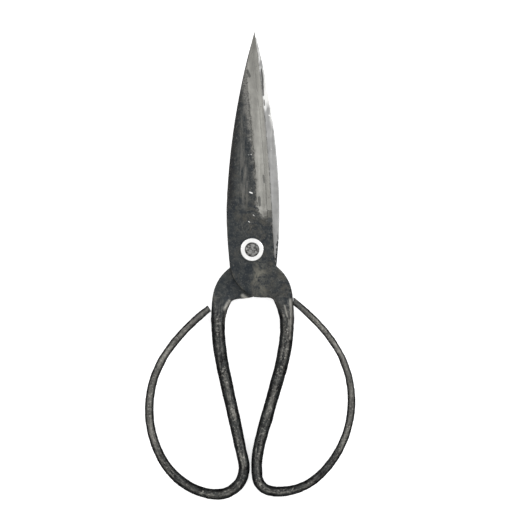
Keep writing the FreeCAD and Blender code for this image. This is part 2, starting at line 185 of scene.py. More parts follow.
def slabRing(limb, left, right, roundLeft, roundRight):
    # a flat section from the spine side to the edge side, its ground bevel included
    width = (right - left).length
    inner = slab["inner"]
    topLeft, topRight = outerHeight(limb, *left), outerHeight(limb, *right)
    roundLeft = min(roundLeft, width / 4, (topLeft - inner) / 3)
    roundRight = min(roundRight, width / 4, (topRight - inner) / 3)
    innerLeft, innerRight = min(roundLeft, slab["innerEdge"]), min(roundRight, slab["innerEdge"])
    low, high = roundLeft / width, 1 - roundRight / width
    halfway = (left.y + right.y) / 2
    crease = (bevelLine(limb, halfway) - left.x) / max(right.x - left.x, 0.001)
    crease = min(high - 0.1 * (high - low), max(low + 0.06 * (high - low), crease))
    if halfway < slab["bevelRunout"]:     # no grinding here, so the points spread out
        crease = high - 0.2 * (high - low)
    ring = []
    start, span = innerLeft / width, 1 - (innerLeft + innerRight) / width
    for column in range(slab["acrossInner"]):
        place = blendPoint(left, right, start + span * column / (slab["acrossInner"] - 1))
        ring.append(Vector((*place, inner)))
    ring.append(Vector((*right, inner + innerRight)))
    ring.append(Vector((*right, topRight - roundRight)))
    fractions = [high + (crease - high) * part / 4 for part in range(5)]
    fractions += [crease + (low - crease) * part / 5 for part in range(1, 6)]
    for fraction in fractions:
        place = blendPoint(left, right, fraction)
        ring.append(Vector((*place, outerHeight(limb, *place))))
    ring.append(Vector((*left, topLeft - roundLeft)))
    ring.append(Vector((*left, inner + innerLeft)))
    return ring


def ovalRing(centre, heading, width, thick, level):
    # a flat-sided section with round edges, or a circle where width and thick are the same
    across = ahead(heading + 90)
    reach = (width - thick) / 2
    ring = []
    for column in range(slab["columns"]):
        turn = math.radians(202.5 + column * 360 / slab["columns"])     # in step with the slab's points
        side = reach * min(1.0, max(-1.0, 1.5 * math.cos(turn)))
        place = Vector(centre) + across * (side + thick / 2 * math.cos(turn))
        ring.append(Vector((*place, level + thick / 2 * math.sin(turn))))
    return ring


def meltRings(first, second, part):
    return [blendPoint(a, b, part) for a, b in zip(first, second)]


def bladeRings(limb):
    rings = []
    for place in range(1, slab["bladeSections"] + 1):     # the tip down to the heel of the weld
        part = place / slab["bladeSections"]
        left = arcPoint(limb["weldTop"], limb["belly"], limb["spine"], part)
        right = arcPoint(limb["weldTop"], limb["weldHeel"], limb["edge"], part, -1)
        if place == 1:
            for share in (0.04, 0.35):
                start = Vector(limb["weldTop"])
                rings.append(slabRing(limb, blendPoint(start, left, share), blendPoint(start, right, share),
                                      slab["softEdge"], slab["weldEdge"]))
        rings.append(slabRing(limb, left, right, slab["softEdge"], slab["weldEdge"]))
    heel, ledge = Vector(limb["heel"]), Vector(limb["ledge"])
    for place in range(slab["heelSections"] + 1):         # the heel down to the ledge
        part = place / slab["heelSections"]
        left = arcPoint(limb["belly"], limb["neck"], limb["back"], 0.02 + 0.91 * part)
        right = blendPoint(heel, ledge, part)
        rings.append(slabRing(limb, left, right, slab["softEdge"], slab["softEdge"]))
    return rings


def plateRings(limb):
    rings = []
    neck, fork, crotch = limb["neck"], Vector(limb["fork"]), Vector(limb["crotch"])

    def haunch(part):
        return arcPoint(limb["outside"], limb["shoulder"], limb["haunch"], 1 - part)

    lines = [(Vector(neck), Vector(limb["shoulder"]))]
    for part, far in ((0.2, 0.1), (0.4, 0.2), (0.6, 0.3), (0.8, 0.39), (0.96, 0.47)):
        lines.append((arcPoint(neck, fork, limb["plate"], part), haunch(far)))
    for part, far in ((0.2, 0.57), (0.5, 0.66), (0.8, 0.76)):
        lines.append((blendPoint(fork, crotch, part), haunch(far)))
    lines.append((crotch, haunch(0.85)))
    lines.append((arcPoint(crotch, limb["inside"], limb["corner"], 0.5, -1), haunch(0.93)))
    for left, right in lines:
        rings.append(slabRing(limb, left, right, slab["softEdge"], slab["softEdge"]))
    rodRoot = (limb["rodStart"], limb["heading"], limb["root"] + 0.05, limb["root"])
    shank = list(limb["shank"]) + [rodRoot]

    def oval(section):
        centre, heading, width, thick = section
        return ovalRing(centre, heading, width, thick, max(0.0, slab["outer"] - 0.1 - thick / 2))

    # the plate's last sections swell towards the shank's first one
    mouth = oval(shank[0])
    flat = rings[-3:]
    for place, part in ((-3, 0.12), (-2, 0.4), (-1, 0.75)):
        thick = [blendPoint(a, Vector((a.x, a.y, b.z)), part) for a, b in zip(flat[place], mouth)]
        rings[place] = thick
    ovals = [mouth, oval(shank[1]), oval(shank[2])]
    rings.append(mouth)
    for first, second in zip(ovals, ovals[1:]):
        rings += [meltRings(first, second, 0.5), second]
    return rings


def startLimb(limb, ring):
    deselectAll()
    bpy.ops.mesh.primitive_circle_add(vertices=slab["columns"], radius=mm, fill_type="NGON")
    piece = bpy.context.object
    piece.name = piece.data.name = limb["name"]
    bpy.ops.object.mode_set(mode="EDIT")
    bpy.ops.mesh.select_mode(type="EDGE")
    mesh = bmesh.from_edit_mesh(piece.data)
    for vertex, place in zip(mesh.verts, ring):
        vertex.co = place * mm
    for face in mesh.faces:     # the disc closes the point; only its rim is pulled out
        face.select_set(False)
    for edge in mesh.edges:
        edge.select_set(True)
    bmesh.update_edit_mesh(piece.data)
    return piece


def ringOrder(mesh, older):
    # the new points, in the order of the older ones that they were pulled from
    newest = set(vertex.index for vertex in mesh.verts if vertex.select)
    order = []
    for index in older:
        beside = [edge.other_vert(mesh.verts[index]).index for edge in mesh.verts[index].link_edges]
        order.append([other for other in beside if other in newest][0])
    return order


def forgeFlats(piece, rings):
    # the open rim is pulled out once for each section, and its points take their places
    order = list(range(slab["columns"]))
    for ring in rings:
        bpy.ops.mesh.extrude_edges_indiv()
        mesh = bmesh.from_edit_mesh(piece.data)
        mesh.verts.ensure_lookup_table()
        order = ringOrder(mesh, order)
        for index, place in zip(order, ring):
            mesh.verts[index].co = place * mm
        bmesh.update_edit_mesh(piece.data)


rod = {
    "step": 1.6, "uneven": 0.03,     # length of each pull, and how far its girth strays
    "cutEnd": ((0.12, 0.9), (0.02, 0.82), (0.0, 0.45)),     # pulls and shrinkings that close the end
}


def runLength(amount, turn):
    return amount if turn == 0 else abs(math.radians(turn)) * amount


def resizeRim(place, ratio):
    bpy.ops.transform.resize(value=(ratio, ratio, ratio), orient_type="GLOBAL",
                             center_override=(place.x * mm, place.y * mm, 0))


def drawRod(limb):
    # the rod is pulled out step by step, turned round each bend and thinned as it goes
    place, heading, diameter = Vector(limb["rodStart"]), limb["heading"], limb["root"]
    wobble = 1.0
    for amount, turn, endDiameter in limb["runs"]:
        length = runLength(amount, turn)
        steps = max(2, round(length / rod["step"]))
        centre = place + ahead(heading + 90) * math.copysign(amount, turn)
        for step in range(1, steps + 1):
            bpy.ops.mesh.extrude_edges_indiv()
            if turn == 0:
                move = ahead(heading) * length / steps
                bpy.ops.transform.translate(value=(move.x * mm, move.y * mm, 0))
                place = place + move
            else:
                angle = math.radians(turn / steps)
                bpy.ops.transform.rotate(value=-angle, orient_axis="Z", orient_type="GLOBAL",
                                         center_override=(centre.x * mm, centre.y * mm, 0))
                place = centre + Matrix.Rotation(angle, 2) @ (place - centre)
            following = diameter + (endDiameter - diameter) / (steps - step + 1)
            fresh = 1 - rod["uneven"] * random.random()
            resizeRim(place, following / diameter * fresh / wobble)
            wobble = fresh
            diameter = following
        heading += turn
    return place, heading


def squareOff(piece, limb, place, heading):
    # the rod's cut end: slanted to lie beside its shank, with a small chamfer, a flat and a closed pole
    forward, across = ahead(heading), ahead(heading + 90)
    reach, slant = limb["cutReach"], limb["cutSlant"]
    bpy.ops.mesh.extrude_edges_indiv()
    mesh = bmesh.from_edit_mesh(piece.data)
    for vertex in mesh.verts:
        if vertex.select:
            aside = (vertex.co.xy / mm - place).dot(across)
            vertex.co.xy += forward * (reach + slant * aside) * mm
    bmesh.update_edit_mesh(piece.data)
    place = place + forward * reach
    for move, ratio in rod["cutEnd"]:
        bpy.ops.mesh.extrude_edges_indiv()
        bpy.ops.transform.translate(value=(forward.x * move * mm, forward.y * move * mm, 0))
        resizeRim(place, ratio)
    bpy.ops.mesh.edge_face_add()
    bpy.ops.mesh.poke()


# Where the hammer's marks fade, as pairs in mm from none to all, and how deep they go.
hammering = {
    "marks": [("hammering", 9.0, 0.36), ("scaleLumps", 2.4, 0.22), ("pits", 0.8, 0.14)],    # size and depth
    "level": 0.58,     # a higher level sinks the marks further into the metal
    "pastWasher": (5.2, 7.0), "washerLine": -12.0,
    "aboveInner": (0.3, 0.7), "belowInner": -0.2,
    "pastGrinding": (0.1, 1.0), "belowPoint": (84.0, 78.0), "bladeLine": 10.0,
    "bevelDrop": 0.45, "bevelFade": 0.06, "bevelSide": 2.0,
}


def forgedWeight(limb, place):
    # how far the hammer's marks show at a point: none on ground faces, at the weld and under the washer
    x, y, z = place / mm
    weight = 1.0
    if y > hammering["washerLine"]:
        weight = smooth(*hammering["pastWasher"], math.hypot(x, y))
    if y > slab["crotchLine"] and z > hammering["belowInner"]:
        weight *= smooth(*hammering["aboveInner"], z)
    if y > hammering["bladeLine"]:
        weight *= smooth(*hammering["pastGrinding"], bevelLine(limb, y) - x)
        weight *= smooth(*hammering["belowPoint"], y)
    if y > slab["bevelRunout"] and x > hammering["bevelSide"]:
        drop = faceHeight(y) - z - hammering["bevelDrop"]
        weight *= smooth(slab["outer"] * hammering["bevelFade"], 0.0, drop)
    return weight


def pickUpAllPoints(piece):
    pickUp(piece)
    bpy.ops.object.mode_set(mode="EDIT")
    bpy.ops.mesh.select_all(action="SELECT")


def faceOutwards(piece):
    pickUpAllPoints(piece)
    bpy.ops.mesh.normals_make_consistent(inside=False)
    bpy.ops.object.mode_set(mode="OBJECT")


def sinkMarks(piece, name, size, depth, level, rounds, group):
    # cloudy dents of one size, most of them sunk into the metal
    texture = bpy.data.textures.new(f"{piece.name}_{name}", "CLOUDS")
    texture.noise_scale = size * mm
    texture.noise_depth = rounds
    modifier = piece.modifiers.new(name, "DISPLACE")
    modifier.texture, modifier.texture_coords = texture, "LOCAL"
    modifier.vertex_group = group
    modifier.strength, modifier.mid_level = depth * mm, level


def hammer(piece, limb):
    faceOutwards(piece)
    group = piece.vertex_groups.new(name="forged")
    for vertex in piece.data.vertices:
        group.add([vertex.index], forgedWeight(limb, vertex.co), "REPLACE")
    for name, size, depth in hammering["marks"]:
        sinkMarks(piece, name, size, depth, hammering["level"], 2, "forged")
    applyAll(piece)


def boreOut(piece, radius):
    deselectAll()
    bpy.ops.mesh.primitive_cylinder_add(vertices=72, radius=radius * mm, depth=12 * mm)
    drill = bpy.context.object
    cut = piece.modifiers.new("bore", "BOOLEAN")
    cut.operation, cut.solver, cut.object = "DIFFERENCE", "EXACT", drill
    applyAll(piece)
    bpy.data.objects.remove(drill, do_unlink=True)


# Places and slopes that the finishes follow, in mm and degrees.
marking = {
    "sampleStep": 1.2, "shankSamples": 8, "shankHeading": -88.0, "shankHalf": 3.8,
    "bevelFoot": 13.0, "footSlope": 0.8, "footRoom": 4.0, "runoutRoom": 3.0,     # where the grinding starts
    "spineCurve": 0.0017, "heelCurve": 0.0028,     # how the spine bends away above and below the belly
    "rodBlend": (-17.0, -32.0), "strokeFade": (1.9, 0.3), "innerTop": 0.3, "seamFoot": 8.0, "farAway": 9.0,
}


def centreline(limb):
    # places along the shank and the rod: place, distance along, direction and half width
    samples = []
    first, last = Vector(limb["shank"][0][0]), Vector(limb["rodStart"])
    for step in range(marking["shankSamples"]):
        place = blendPoint(first, last, step / marking["shankSamples"])
        samples.append((place, last.y - place.y, marking["shankHeading"], marking["shankHalf"]))
    place, heading, along, diameter = last, limb["heading"], 0.0, limb["root"]
    for amount, turn, endDiameter in limb["runs"]:
        length = runLength(amount, turn)
        steps = max(2, round(length / marking["sampleStep"]))
        for step in range(steps):
            samples.append((place.copy(), along, heading, diameter / 2))
            place = place + ahead(heading + turn / steps / 2) * (length / steps)
            heading += turn / steps
            along += length / steps
            diameter += (endDiameter - diameter) / (steps - step)
    samples.append((place.copy(), along, heading, diameter / 2))
    return samples


def strokeDistance(x, y, stroke):
    # how many stroke widths a point lies from a stroke's middle line
    startX, startY, endX, endY, width = stroke
    runX, runY = endX - startX, endY - startY
    part = ((x - startX) * runX + (y - startY) * runY) / (runX ** 2 + runY ** 2)
    part = min(1.0, max(0.0, part))
    return math.hypot(x - startX - runX * part, y - startY - runY * part) / width


def drawnDistance(limb, samples, x, y):
    # how far a point lies along the drawn metal, and to its side
    if y >= slab["crotchLine"]:
        return limb["rodStart"][1] - y, x - limb["rodStart"][0]
    place, along, heading, half = min(samples, key=lambda sample: math.hypot(
        x - sample[0].x, y - sample[0].y) - sample[3])
    offset = Vector((x, y)) - place
    return along + offset.dot(ahead(heading)), offset.dot(ahead(heading + 90))


def groundDistance(limb, x, y):
    # how far into the ground bevel a point lies; negative on the forged skin
    if y <= slab["bevelRunout"] - marking["runoutRoom"]:
        into = -marking["farAway"]
    else:
        into = x - bevelLine(limb, y)
    if y < slab["bevelStart"] + marking["footRoom"]:
        into = min(into, (y - marking["bevelFoot"]) * marking["footSlope"])
    return into


def markSurfaces(piece, limb):
    # what the finishes read at each point; the seam is where the front cutting edge meets and wears the back
    # blade, and the dark line painted along it is partly wear and partly painted shadow of that edge
    names = ("ground", "inner", "rod", "fromSpine", "along", "aside", "seam", "smudge", "nick", "paintedFacetHighlight")
    marks = {name: [] for name in names}
    bellyX, bellyY = limb["belly"]
    samples = centreline(limb)
    for vertex in piece.data.vertices:
        x, y, z = vertex.co / mm
        along, aside = drawnDistance(limb, samples, x, y)
        curve = marking["spineCurve"] if y > bellyY else marking["heelCurve"]
        seam = marking["farAway"]
        if limb["turned"] and y > marking["seamFoot"]:
            seam = -x - edgeAcross(frontLimb, y)
        marks["ground"].append(groundDistance(limb, x, y))
        marks["inner"].append(1.0 if z < marking["innerTop"] and y > slab["crotchLine"] else 0.0)
        marks["rod"].append(smooth(*marking["rodBlend"], y))
        marks["fromSpine"].append(x - bellyX - (y - bellyY) ** 2 * curve)
        marks["along"].append(along)
        marks["aside"].append(aside)
        marks["seam"].append(seam)
        for name, strokes in (("smudge", limb["darkStrokes"]), ("nick", limb["nicks"]), ("paintedFacetHighlight", limb["facetHighlightStrokes"])):
            nearest = min(strokeDistance(x, y, stroke) for stroke in strokes)
            marks[name].append(smooth(*marking["strokeFade"], nearest))
    for name, values in marks.items():
        layer = piece.data.attributes.new(name, "FLOAT", "POINT")
        layer.data.foreach_set("value", values)


def turnOver(piece):
    pickUpAllPoints(piece)
    bpy.ops.transform.rotate(value=math.pi, orient_axis="Y", orient_type="GLOBAL", center_override=(0, 0, 0))
    bpy.ops.object.mode_set(mode="OBJECT")


def roundOff(piece):
    rounding = piece.modifiers.new("rounding", "SUBSURF")
    rounding.levels = rounding.render_levels = 2
    applyAll(piece)


def handOver(piece, finish, smoothAngle, body, node):
    # the last things that every new piece gets
    settle(piece)
    bpy.ops.object.shade_smooth_by_angle(angle=math.radians(smoothAngle))
    piece.data.materials.clear()
    piece.data.materials.append(finish)
    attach(piece, body)
    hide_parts(node)
    print(piece.name, len(piece.data.polygons), "faces")


def forgeLimb(limb, finish):
    rings = bladeRings(limb) + plateRings(limb)
    piece = startLimb(limb, rings[0])
    forgeFlats(piece, rings[1:])
    place, heading = drawRod(limb)
    squareOff(piece, limb, place, heading)
    bpy.ops.object.mode_set(mode="OBJECT")
    roundOff(piece)
    hammer(piece, limb)
    boreOut(piece, limb["bore"])
    faceOutwards(piece)
    markSurfaces(piece, limb)
    if limb["turned"]:     # the back limb is a front limb turned over at the middle plane
        turnOver(piece)
    piece.location.z = middle
    handOver(piece, finish, 40, limb["body"], limb["node"])


class Recipe:
    # a short way to lay out a material's nodes
    def __init__(self, name):
        self.material = bpy.data.materials.new(name)
        self.material.use_nodes = True
        self.nodes = self.material.node_tree.nodes
        self.links = self.material.node_tree.links
        self.shader = self.nodes["Principled BSDF"]
        self.place = self.nodes.new("ShaderNodeTexCoord").outputs["Object"]

    def feed(self, socket, value):
        if isinstance(value, bpy.types.NodeSocket):
            self.links.new(value, socket)
        else:
            socket.default_value = value

    def attribute(self, name):
        node = self.nodes.new("ShaderNodeAttribute")
        node.attribute_name = name
        return node.outputs["Fac"]

    def stretched(self, scale, turn=0.0):
        node = self.nodes.new("ShaderNodeMapping")
        node.inputs["Scale"].default_value = scale
        node.inputs["Rotation"].default_value = (0, 0, math.radians(turn))
        self.links.new(self.place, node.inputs["Vector"])
        return node.outputs["Vector"]

    def noise(self, size, detail=3.0, rough=0.55, vector=None, distortion=0.0):
        node = self.nodes.new("ShaderNodeTexNoise")
        node.inputs["Scale"].default_value = 1 / (size * mm)
        node.inputs["Detail"].default_value = detail
        node.inputs["Roughness"].default_value = rough
        node.inputs["Distortion"].default_value = distortion
        self.links.new(vector or self.place, node.inputs["Vector"])
        return node.outputs["Fac"]

    def cells(self, size):
        node = self.nodes.new("ShaderNodeTexVoronoi")
        node.inputs["Scale"].default_value = 1 / (size * mm)
        self.links.new(self.place, node.inputs["Vector"])
        return node.outputs["Distance"]

    def maths(self, operation, first, second=0.0, third=0.0):
        node = self.nodes.new("ShaderNodeMath")
        node.operation = operation
        for socket, value in zip(node.inputs, (first, second, third)):
            self.feed(socket, value)
        return node.outputs[0]

    def times(self, first, *others):
        for other in others:
            first = self.maths("MULTIPLY", first, other)
        return first

    def opposite(self, value):
        return self.maths("SUBTRACT", 1.0, value)

    def jitter(self, value, noise, amount):
        # shifts a value by a noise, so that what follows it runs ragged
        return self.maths("MULTIPLY_ADD", self.maths("SUBTRACT", noise, 0.5), amount, value)

    def between(self, value, low, high, outLow=0.0, outHigh=1.0):
        node = self.nodes.new("ShaderNodeMapRange")
        node.interpolation_type = "SMOOTHSTEP"
        self.links.new(value, node.inputs["Value"])
        for name, number in zip(("From Min", "From Max", "To Min", "To Max"), (low, high, outLow, outHigh)):
            node.inputs[name].default_value = number
        return node.outputs["Result"]

    def mix(self, factor, first, second):
        node = self.nodes.new("ShaderNodeMix")
        node.data_type = "RGBA"
        self.feed(node.inputs["Factor"], factor)
        for socket, value in zip((node.inputs[6], node.inputs[7]), (first, second)):
            self.feed(socket, value if isinstance(value, bpy.types.NodeSocket) else (*value, 1.0))
        return node.outputs[2]

    def along(self, source, direction):
        node = self.nodes.new("ShaderNodeSeparateXYZ")
        self.links.new(source, node.inputs["Vector"])
        return node.outputs[direction]

    def facing(self):
        # how far up the surface faces: 1 up, 0 sideways, -1 down
        return self.along(self.nodes.new("ShaderNodeNewGeometry").outputs["Normal"], "Z")

    def shaded(self, colour, amount):
        node = self.nodes.new("ShaderNodeVectorMath")
        node.operation = "SCALE"
        self.links.new(colour, node.inputs[0])
        self.links.new(amount, node.inputs["Scale"])
        return node.outputs["Vector"]

    def strewn(self, size, low, high, where, vector=None):
        # specks of one size, strewn where a mask allows
        return self.times(self.between(self.noise(size, 2, 0.6, vector), low, high), where)

    def bump(self, height, depth):
        node = self.nodes.new("ShaderNodeBump")
        node.inputs["Strength"].default_value = 1.0
        node.inputs["Distance"].default_value = depth * mm
        self.links.new(height, node.inputs["Height"])
        return node.outputs["Normal"]

    def finish(self, colour, rough, metal, normal=None, specular=0.5):
        base = self.shader.inputs["Base Color"]
        self.feed(base, colour if isinstance(colour, bpy.types.NodeSocket) else (*colour, 1.0))
        self.feed(self.shader.inputs["Roughness"], rough)
        self.feed(self.shader.inputs["Metallic"], metal)
        self.shader.inputs["Specular IOR Level"].default_value = specular
        if normal:
            self.links.new(normal, self.shader.inputs["Normal"])
        return self.material


tone = {
    "blueBlack": (0.016, 0.021, 0.026), "coal": (0.010, 0.010, 0.011), "slate": (0.044, 0.048, 0.048),
    "brown": (0.075, 0.070, 0.058), "khaki": (0.155, 0.150, 0.125), "ash": (0.125, 0.122, 0.112),
    "rubbedAndHighlight": (0.34, 0.33, 0.30), "bright": (0.85, 0.84, 0.82), "halfGroundAndEdgeHighlight": (0.20, 0.195, 0.18),
    "groundWarm": (0.168, 0.166, 0.153), "groundDull": (0.132, 0.130, 0.120),
    "groundCool": (0.345, 0.345, 0.34), "reflectedWhite": (0.82, 0.82, 0.80), "sootAndShadow": (0.05, 0.05, 0.047),
    "washerWhite": (0.93, 0.93, 0.92), "washerGrey": (0.80, 0.80, 0.79), "rivetDark": (0.05, 0.05, 0.048),
    "rivetGrey": (0.26, 0.26, 0.25), "rivetPale": (0.36, 0.36, 0.35), "rivetRimShade": (0.02, 0.02, 0.02),
}

# The patterns in the metal: size in mm, detail and roughness.
grain = {
    "fine": (0.55, 3, 0.7), "chips": (1.3, 5, 0.7), "scuffs": (1.6, 6, 0.78), "blotch": (3.2, 8, 0.74),
    "curls": (4.0, 7, 0.72), "broad": (12.0, 2, 0.5), "streaks": (1.0, 4, 0.62), "bands": (2.6, 2, 0.5),
    "grinding": (0.9, 3, 0.6), "wheelBands": (3.6, 2, 0.5), "smears": (3.0, 4, 0.65),
    "stains": (1.5, 4, 0.65),
}


def groundColour(recipe, inward):
    # satin grinding lines down the blade; the inner face is cooler and lighter
    lines = recipe.noise(*grain["grinding"], recipe.stretched((1, 0.03, 1), 4))
    bands = recipe.noise(*grain["wheelBands"], recipe.stretched((1, 0.05, 1), 4))
    smears = recipe.noise(*grain["smears"])
    colour = recipe.mix(recipe.between(bands, 0.36, 0.64), tone["groundDull"], tone["groundWarm"])
    colour = recipe.mix(inward, colour, tone["groundCool"])
    shade = recipe.times(recipe.between(lines, 0.25, 0.75, 0.88, 1.1),
                         recipe.between(smears, 0.3, 0.7, 0.86, 1.08))
    return recipe.shaded(colour, shade), lines


def glareTowardsPoint(recipe, steel, along, flat, start, end):
    # painted reflection: brighter smears of reflected light on the inner face, nearer the point
    where = recipe.times(recipe.between(along, start * mm, end * mm), flat)
    return recipe.mix(recipe.strewn(3.0, 0.4, 0.6, where, recipe.stretched((1, 0.3, 1), 6)),
                      steel, tone["reflectedWhite"])


def drawnPlace(recipe, shrink):
    # a place that follows the drawn metal, from tip to rod end, shortened along so that patterns stretch
    combine = recipe.nodes.new("ShaderNodeCombineXYZ")
    recipe.links.new(recipe.times(recipe.attribute("along"), shrink * mm), combine.inputs["X"])
    recipe.links.new(recipe.times(recipe.attribute("aside"), mm), combine.inputs["Y"])
    recipe.links.new(recipe.along(recipe.place, "Z"), combine.inputs["Z"])
    return combine.outputs["Vector"]


def washerRust(recipe, curls, fine):
    # the strongest rust runs down beside and below the washer
    reach = recipe.nodes.new("ShaderNodeVectorMath")
    reach.operation = "DISTANCE"
    recipe.links.new(recipe.stretched((1, 0.42, 0), 18), reach.inputs[0])
    reach.inputs[1].default_value = (4.4 * mm, -3.6 * mm, 0)
    return recipe.times(recipe.between(reach.outputs["Value"], 4.6 * mm, 0.6 * mm),
                        recipe.between(curls, 0.38, 0.6), recipe.between(fine, 0.3, 0.6, 0.5, 1.0))


def forgedSkin(name, sleek):
    # sleek is for the back limb, whose plate is smoother and bluer
    recipe = Recipe(name)
    between, times, mix = recipe.between, recipe.times, recipe.mix
    along = recipe.along(recipe.place, "Y")
    facing = recipe.maths("ABSOLUTE", recipe.facing())
    rodPart, inner, ground = recipe.attribute("rod"), recipe.attribute("inner"), recipe.attribute("ground")
    fromSpine, nick, paintedFacetHighlight = recipe.attribute("fromSpine"), recipe.attribute("nick"), recipe.attribute("paintedFacetHighlight")
    chips, fine = recipe.noise(*grain["chips"]), recipe.noise(*grain["fine"])
    blotch, broad = recipe.noise(*grain["blotch"]), recipe.noise(*grain["broad"])
    curls = recipe.noise(*grain["curls"], distortion=0.9)
    streaks = recipe.noise(*grain["streaks"], drawnPlace(recipe, 0.1))
    bands = recipe.noise(*grain["bands"], drawnPlace(recipe, 0.035))
    onBlade = between(along, 12 * mm, 24 * mm)

    # plate and blade: blue-black scale, mottled, with brown rust
    skin = mix(between(blotch, 0.38, 0.66), tone["blueBlack"], tone["slate"])
    scuffs = times(between(recipe.noise(*grain["scuffs"]), 0.47, 0.66), 0.4)
    skin = mix(times(scuffs, between(broad, 0.35, 0.6, 0.35, 1.0)), skin, tone["ash"])
    rust = times(between(curls, 0.42, 0.68), between(broad, 0.4, 0.6, 0.25, 1.0))
    skin = mix(times(rust, 0.3 if sleek else 0.85), skin, tone["brown"])
    if not sleek:
        skin = mix(washerRust(recipe, curls, fine), skin, tone["khaki"])

    # the blade's middle is drawn in lighter lengthwise streaks; its spine stays dark
    midBlade = times(between(fromSpine, 2.4, 5.2), onBlade)
    drawn = times(between(bands, 0.4, 0.64, 0.05, 1.0), between(streaks, 0.4, 0.64))
    skin = mix(times(drawn, midBlade), skin, tone["ash"])
    spineDark = times(between(fromSpine, 4.2, 1.2), onBlade)
    skin = mix(times(spineDark, 0.8), skin, tone["coal"])
    climb = between(along, 26 * mm, 66 * mm, -0.5, 1.9)
    half = recipe.maths("ADD", recipe.jitter(ground, blotch, 9.0), climb)
    halfMask = times(between(half, -1.9, 0.8), between(ground, -3.6, -0.6))
    skin = mix(times(halfMask, between(fine, 0.32, 0.62, 0.15, 1.0)), skin, tone["halfGroundAndEdgeHighlight"])

    # rods: black, with a lighter ridge that is partly wear and partly painted highlight, streaked the way the
    # rod was drawn, and paler on top where they are thin, again partly wear and partly painted highlight
    ridge = between(facing, 0.74, 0.995)
    rodSkin = mix(between(blotch, 0.4, 0.62), tone["coal"], tone["slate"])
    ridgeRubAndHighlight = times(between(streaks, 0.36, 0.6), between(chips, 0.3, 0.56, 0.2, 1.0),
                    times(ridge, between(broad, 0.38, 0.62, 0.35, 1.0)))
    rodSkin = mix(ridgeRubAndHighlight, rodSkin, tone["ash"])
    thin = between(recipe.attribute("along"), 95.0, 125.0)
    rodSkin = mix(times(ridgeRubAndHighlight, thin, 0.7), rodSkin, tone["rubbedAndHighlight"])
    thinTopWearAndHighlight = times(thin, between(facing, 0.5, 0.92), between(chips, 0.34, 0.6, 0.25, 0.75))
    rodSkin = mix(thinTopWearAndHighlight, rodSkin, tone["ash"])
    # painted highlight: a pale stripe along the very top of each rod
    paintedCrestHighlight = times(between(facing, 0.9, 1.0), between(streaks, 0.42, 0.62, 0.0, 0.45),
                  between(chips, 0.46, 0.6, 0.15, 1.0))
    rodSkin = mix(paintedCrestHighlight, rodSkin, tone["rubbedAndHighlight"])
    # pale specks along the ridge: partly bare metal, partly painted highlight
    specks = recipe.strewn(0.9, 0.54, 0.67, times(ridge, between(broad, 0.4, 0.6, 0.2, 0.9)))
    rodSkin = mix(specks, rodSkin, tone["rubbedAndHighlight"])
    skin = mix(rodPart, skin, rodSkin)

    # pale specks all over, painted highlights along the shank facets, and paler rounded corners
    skin = mix(recipe.strewn(0.6, 0.6, 0.72, 0.75), skin, tone["ash"])
    # painted highlight: light streaks along the shank facets
    skin = mix(times(paintedFacetHighlight, between(streaks, 0.3, 0.6, 0.15, 0.9)), skin, tone["rubbedAndHighlight"])
    # rounded corners tilted part way between up and sideways are paler: partly edge wear, partly painted
    # highlight
    corner = times(between(facing, 0.3, 0.6), between(facing, 0.94, 0.8), between(rodPart, 0.4, 0.05),
                   between(blotch, 0.44, 0.62, 0.05, 0.9))
    skin = mix(corner, skin, tone["halfGroundAndEdgeHighlight"])

    # bright nicks, most of them along the edge of the grinding
    nearGrinding = times(between(ground, -4.5, -0.6), between(ground, 1.0, 0.0))
    nicks = recipe.maths("MAXIMUM", recipe.strewn(1.0, 0.72, 0.77, nearGrinding),
                         between(recipe.maths("MULTIPLY_ADD", chips, 0.9, nick), 0.9, 1.2))
    skin = mix(nicks, skin, tone["bright"])

    # ground steel: the bevel, and the inner face of the blade down to the plate
    onBevel = times(between(recipe.jitter(ground, chips, 4.6), -0.12, 0.12), recipe.opposite(inner))
    flat = between(inner, 0.2, 0.5)
    onInner = times(flat, between(recipe.jitter(along, chips, 5 * mm), -6.0 * mm, -5.2 * mm))
    ragSpine = recipe.maths("MAXIMUM", between(recipe.jitter(fromSpine, chips, 4.0), 0.3, 0.6),
                            between(along, 3 * mm, 8 * mm))
    bare = recipe.maths("MAXIMUM", onBevel, times(onInner, ragSpine))
    steel, lines = groundColour(recipe, flat)
    steel = glareTowardsPoint(recipe, steel, along, flat, 40, 62)
    steel = mix(times(nicks, flat), steel, tone["bright"])
    # painted shadow: a dark line on the back blade along the front cutting edge, partly a wear line too
    seamRubAndShadow = times(between(recipe.maths("ABSOLUTE", recipe.attribute("seam")), 0.42, 0.12),
                 between(chips, 0.4, 0.6, 0.1, 0.8))
    # dark strokes; on the back blade they are painted shadow of the front blade
    darkStrokeJitter = recipe.maths("MULTIPLY_ADD", chips, 0.8, recipe.attribute("smudge"))
    darkStrokeMask = between(darkStrokeJitter, 0.7, 1.1, 0.0, 0.85)
    steel = mix(recipe.maths("MAXIMUM", seamRubAndShadow, darkStrokeMask), steel, tone["sootAndShadow"])
    colour = mix(bare, skin, steel)

    notBare = recipe.opposite(bare)
    shine = between(blotch, 0.3, 0.7, 0.3 if sleek else 0.34, 0.5)
    rough = recipe.maths("ADD", times(notBare, shine), times(bare, between(lines, 0.3, 0.7, 0.32, 0.44)))
    sheen = recipe.maths("MAXIMUM", nicks, between(rodPart, 0.0, 1.0, 0.55, 0.9))
    metal = recipe.maths("MAXIMUM", bare, sheen)
    pitting = recipe.maths("ADD", times(chips, 0.6), times(fine, 0.4))
    relief = recipe.maths("MULTIPLY_ADD", times(lines, bare), 0.12, times(pitting, notBare))
    return recipe.finish(colour, rough, metal, recipe.bump(relief, 0.3), 0.25)


